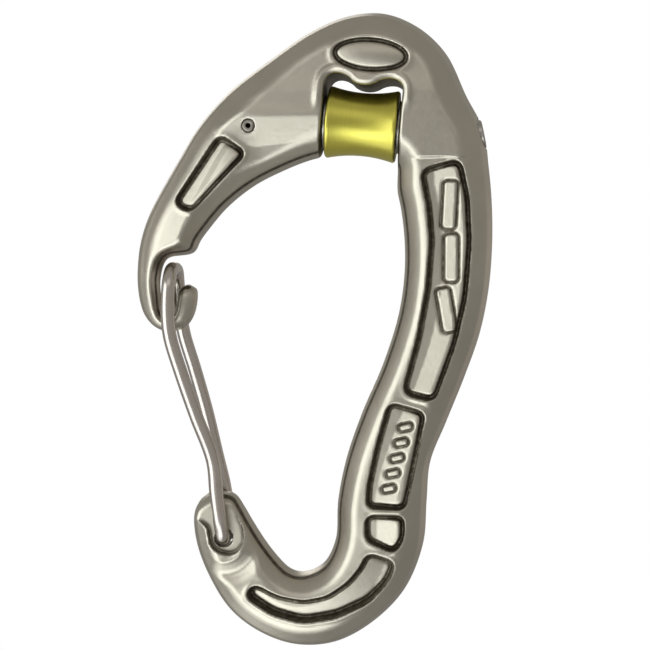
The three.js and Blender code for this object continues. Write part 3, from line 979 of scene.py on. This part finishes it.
def drawn_wire():
    """Stainless wire: fine die lines that run along it."""
    f = Finish("drawn_wire", 0.16)
    around = f.attribute("around")
    along = f.attribute("along")
    place = f.node("ShaderNodeCombineXYZ")
    f.feed(place.inputs[0], f.math("MULTIPLY", around, 26.0))
    f.feed(place.inputs[1], f.math("MULTIPLY", along, 0.12))
    lines = f.noise(place.outputs[0], 1.0, 4)
    cloud = f.noise(f.place, 0.35, 3)
    tone = f.mix(cloud, rgb(0.62, 0.575, 0.54), rgb(0.70, 0.655, 0.62))
    tone = f.mix(f.between(lines, 0.55, 0.8, 0.0, 0.25), tone, rgb(0.42, 0.38, 0.35))
    f.feed(f.shader.inputs["Base Color"], tone)
    f.add_roughness(f.math("MULTIPLY", lines, 0.12), f.math("MULTIPLY", cloud, 0.05))
    f.bumps((lines, 0.008))
    return f.material


def lathe_rings(f, scale):
    """Rings that a lathe tool leaves: noise that changes only along the axle."""
    along = f.vector("DOT_PRODUCT", f.place, tuple(AXLE_ALONG))
    rings = f.node("ShaderNodeTexNoise", noise_dimensions="1D")
    f.feed(rings.inputs["W"], along)
    rings.inputs["Scale"].default_value = scale
    rings.inputs["Detail"].default_value = 3
    return rings.outputs["Fac"]


def anodised_roller():
    """Yellow-green anodised aluminium over fine turning marks."""
    f = Finish("anodised_roller", 0.26)
    rings = lathe_rings(f, 7.0)
    cloud = f.noise(f.place, 0.5, 3)
    speck = f.noise(f.place, 8.0, 2)
    tone = f.mix(cloud, rgb(0.68, 0.63, 0.10), rgb(0.76, 0.70, 0.13))
    tone = f.mix(f.between(rings, 0.35, 0.7, 0.0, 0.12), tone, rgb(0.40, 0.36, 0.04))
    tone = f.mix(f.between(speck, 0.68, 0.78, 0.0, 0.3), tone, rgb(0.30, 0.27, 0.05))
    f.feed(f.shader.inputs["Base Color"], tone)
    f.shader.inputs["Coat Weight"].default_value = 0.35
    f.shader.inputs["Coat Roughness"].default_value = 0.22
    f.shader.inputs["Coat IOR"].default_value = 1.6
    f.add_roughness(f.math("MULTIPLY", rings, 0.12), f.math("MULTIPLY", speck, 0.05))
    f.bumps((rings, 0.010), (speck, 0.004))
    return f.material


def turned_metal(name, light, dark, roughness, scale=5.0):
    """A plain machined metal with turning marks and a little tarnish."""
    f = Finish(name, roughness)
    rings = lathe_rings(f, scale)
    cloud = f.noise(f.place, 1.4, 4)
    tone = f.mix(f.between(cloud, 0.35, 0.7), rgb(*light), rgb(*dark))
    f.feed(f.shader.inputs["Base Color"], tone)
    f.add_roughness(f.math("MULTIPLY", rings, 0.15), f.math("MULTIPLY", cloud, 0.1))
    f.bumps((rings, 0.008))
    return f.material


MATERIALS = {
    "frame_alloy": forged_alloy(),
    "gate_steel": drawn_wire(),
    "roller_anodised": anodised_roller(),
    "bush_metal": turned_metal("sintered_bronze", (0.52, 0.38, 0.20), (0.36, 0.25, 0.13), 0.38),
    "axle_steel": turned_metal("ground_steel", (0.60, 0.58, 0.55), (0.46, 0.44, 0.41), 0.18, 9.0),
    "pin_steel": turned_metal("spring_steel", (0.42, 0.40, 0.36), (0.26, 0.24, 0.21), 0.28),
    "washer_steel": turned_metal("washer_steel", (0.60, 0.58, 0.55), (0.44, 0.42, 0.38), 0.24),
}


# ---------------------------------------------------------------- camera, stage and light

CAMERA_AIM = Vector((-6.18, 0, -29.79)) * MM
CAMERA_DISTANCE = 265 * MM
CAMERA_AZIMUTH = math.radians(5.5)
CAMERA_RISE = math.radians(2.5)
VIEW_WIDTH = 115.2 * MM
SENSOR_WIDTH = 36


def add_camera():
    camera = bpy.data.objects.new("camera", bpy.data.cameras.new("camera"))
    bpy.context.scene.collection.objects.link(camera)
    direction = Vector((
        math.sin(CAMERA_AZIMUTH) * math.cos(CAMERA_RISE),
        -math.cos(CAMERA_AZIMUTH) * math.cos(CAMERA_RISE),
        math.sin(CAMERA_RISE),
    ))
    camera.location = CAMERA_AIM + direction * CAMERA_DISTANCE
    camera.rotation_euler = direction.to_track_quat("Z", "Y").to_euler()
    camera.data.sensor_width = SENSOR_WIDTH
    camera.data.lens = SENSOR_WIDTH * CAMERA_DISTANCE / VIEW_WIDTH
    camera.data.clip_start = 0.01
    camera.data.clip_end = 20
    bpy.context.scene.camera = camera


def add_area(name, at, aim, size, power, colour):
    light = bpy.data.lights.new(name, "AREA")
    light.shape = "RECTANGLE"
    light.size, light.size_y = size
    light.energy = power
    light.color = colour
    obj = bpy.data.objects.new(name, light)
    obj.location = at
    obj.rotation_euler = (Vector(at) - Vector(aim)).to_track_quat("Z", "Y").to_euler()
    bpy.context.scene.collection.objects.link(obj)


# Soft boxes: name, azimuth from the front towards +X, rise, distance, size, radiance and colour.
LIGHTS = [
    ("left_box", -48, 0, 0.50, (0.42, 0.46), 1.75, (0.96, 1.0, 0.985)),
    ("low_front_box", -12, -34, 0.50, (0.44, 0.26), 1.5, (0.96, 1.0, 0.985)),
    ("low_left_box", -40, -52, 0.50, (0.50, 0.34), 0.9, (0.97, 1.0, 0.98)),
    ("high_front_box", 6, 34, 0.55, (0.50, 0.24), 0.40, (1.0, 0.985, 0.95)),
    ("back_left_box", -160, 24, 0.60, (0.30, 0.30), 1.3, (1.0, 0.98, 0.95)),
    ("back_right_box", 135, -8, 0.60, (0.30, 0.34), 0.12, (1.0, 0.78, 0.64)),
]
ROOM_GREY = 0.34
FLOOR_GREY = 0.28


def add_stage():
    add_world()
    add_floor()
    bpy.context.scene.view_settings.view_transform = "Standard"
    for name, azimuth, rise, distance, size, radiance, colour in LIGHTS:
        a, e = math.radians(azimuth), math.radians(rise)
        toward = Vector((math.sin(a) * math.cos(e), -math.cos(a) * math.cos(e), math.sin(e)))
        power = radiance * math.pi * size[0] * size[1]
        add_area(name, CAMERA_AIM + toward * distance, CAMERA_AIM, size, power, colour)


def add_world():
    """White behind the object, soft grey all round it for light and reflections."""
    world = bpy.data.worlds.new("studio")
    bpy.context.scene.world = world
    world.use_nodes = True
    nodes, links = world.node_tree.nodes, world.node_tree.links
    room = nodes["Background"]
    room.inputs["Color"].default_value = (1.0, 0.955, 0.88, 1)
    room.inputs["Strength"].default_value = ROOM_GREY
    backdrop = nodes.new("ShaderNodeBackground")
    backdrop.inputs["Color"].default_value = (1, 1, 1, 1)
    seen = nodes.new("ShaderNodeLightPath")
    mix = nodes.new("ShaderNodeMixShader")
    links.new(seen.outputs["Is Camera Ray"], mix.inputs[0])
    links.new(room.outputs[0], mix.inputs[1])
    links.new(backdrop.outputs[0], mix.inputs[2])
    links.new(mix.outputs[0], nodes["World Output"].inputs["Surface"])


def add_floor():
    """A pale floor that reads white and gives a dim reflection."""
    bpy.ops.mesh.primitive_plane_add(size=12, location=(0, 0, -0.9))
    floor = bpy.context.object
    floor.name = "floor"
    material = bpy.data.materials.new("pale_floor")
    material.use_nodes = True
    nodes, links = material.node_tree.nodes, material.node_tree.links
    nodes.clear()
    seen = nodes.new("ShaderNodeLightPath")
    white = nodes.new("ShaderNodeEmission")
    dim = nodes.new("ShaderNodeEmission")
    dim.inputs["Color"].default_value = (1.0, 0.97, 0.92, 1)
    dim.inputs["Strength"].default_value = FLOOR_GREY
    mix = nodes.new("ShaderNodeMixShader")
    out = nodes.new("ShaderNodeOutputMaterial")
    links.new(seen.outputs["Is Camera Ray"], mix.inputs[0])
    links.new(dim.outputs[0], mix.inputs[1])
    links.new(white.outputs[0], mix.inputs[2])
    links.new(mix.outputs[0], out.inputs["Surface"])
    floor.data.materials.append(material)


add_camera()
add_stage()
for piece, body, slot, node in build_pieces():
    piece.data.materials.append(MATERIALS[slot])
    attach(piece, body)
    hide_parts(node)
